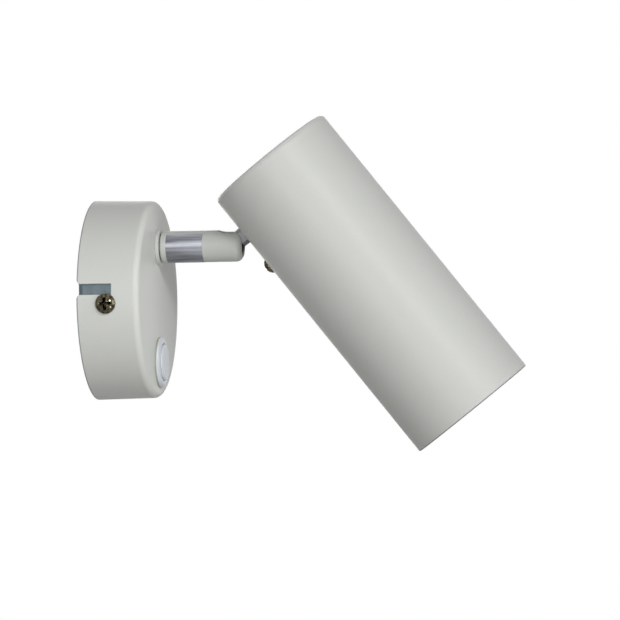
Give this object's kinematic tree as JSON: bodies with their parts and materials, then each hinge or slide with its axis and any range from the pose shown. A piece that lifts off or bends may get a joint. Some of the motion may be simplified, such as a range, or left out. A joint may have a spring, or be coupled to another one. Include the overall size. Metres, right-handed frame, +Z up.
{
  "type": "wall spotlight",
  "caption": "Wall spotlight: round canopy with a push switch, a short swivelling arm and a tilting tubular head on a ball joint.",
  "frame": {"origin": "centre of the canopy's back, on the wall", "axes": "+Y into the wall, +Z up, X along the wall; the light stands out from the wall along -Y"},
  "size_m": [0.0846, 0.1721, 0.1342],
  "materials": {
    "paint": "satin",
    "zinc": "satin",
    "dark_nickel": "gloss",
    "stem_nickel": "satin",
    "brass": "satin",
    "switch_white": "gloss",
    "nylon_white": "satin",
    "grommet_grey": "matte",
    "lead_brown": "satin",
    "lead_black": "satin",
    "lead_blue": "satin",
    "lead_green_yellow": "satin",
    "lead_white": "satin",
    "ceramic": "matte",
    "lamp_white": "satin",
    "lamp_board": "matte",
    "lens": "satin"
  },
  "bodies": {
    "base": {"wall_bracket": "zinc", "cable_grommet": "grommet_grey", "canopy": "paint", "lock_screws": "dark_nickel", "terminal_block": "nylon_white", "terminal_clamps": "brass", "terminal_screws": "zinc", "block_screw": "zinc", "earth_screw": "brass", "earth_tag": "zinc", "switch_body": "switch_white", "switch_nut": "nylon_white", "switch_blades": "brass", "switch_spring": "zinc", "live_lead": "lead_brown", "switched_lead": "lead_black", "neutral_lead": "lead_blue", "earth_lead": "lead_green_yellow"},
    "button": {"switch_button": "switch_white"},
    "arm": {"arm_collar": "paint", "stop_washer": "zinc", "wave_washer": "zinc", "nipple_nut": "zinc", "nipple": "zinc", "arm_insert": "brass", "arm_tube": "paint", "joint_spring": "zinc", "friction_cup": "brass", "arm_leads": "lead_white"},
    "head": {"ball_stem": "stem_nickel", "saddle_washer": "zinc", "stem_nut": "zinc", "head_shell": "paint", "holder_strap": "zinc", "strap_screw": "dark_nickel", "lamp_holder": "ceramic", "holder_screws": "zinc", "lamp_leads": "lead_white", "lamp_body": "lamp_white", "lamp_pins": "zinc", "lamp_board": "lamp_board", "lamp_lens": "lens"}
  },
  "joints": [
    {"name": "arm_swivel", "type": "hinge", "parent": "base", "child": "arm", "pos_m": [0, -0.03, 0.021], "axis": [0, -1, 0], "range_deg": [-168, 156]},
    {"name": "head_tilt", "type": "hinge", "parent": "arm", "child": "head", "pos_m": [0, -0.05485, 0.021], "axis": [0.9945, 0, 0.1045], "range_deg": [-52.2, 37.8]},
    {"name": "switch_press", "type": "slide", "parent": "base", "child": "button", "axis": [0, 1, 0], "range_m": [0, 0.0024], "stiffness_N_per_m": 600, "springref_m": -0.002, "deforming": ["switch_spring"]}
  ]
}
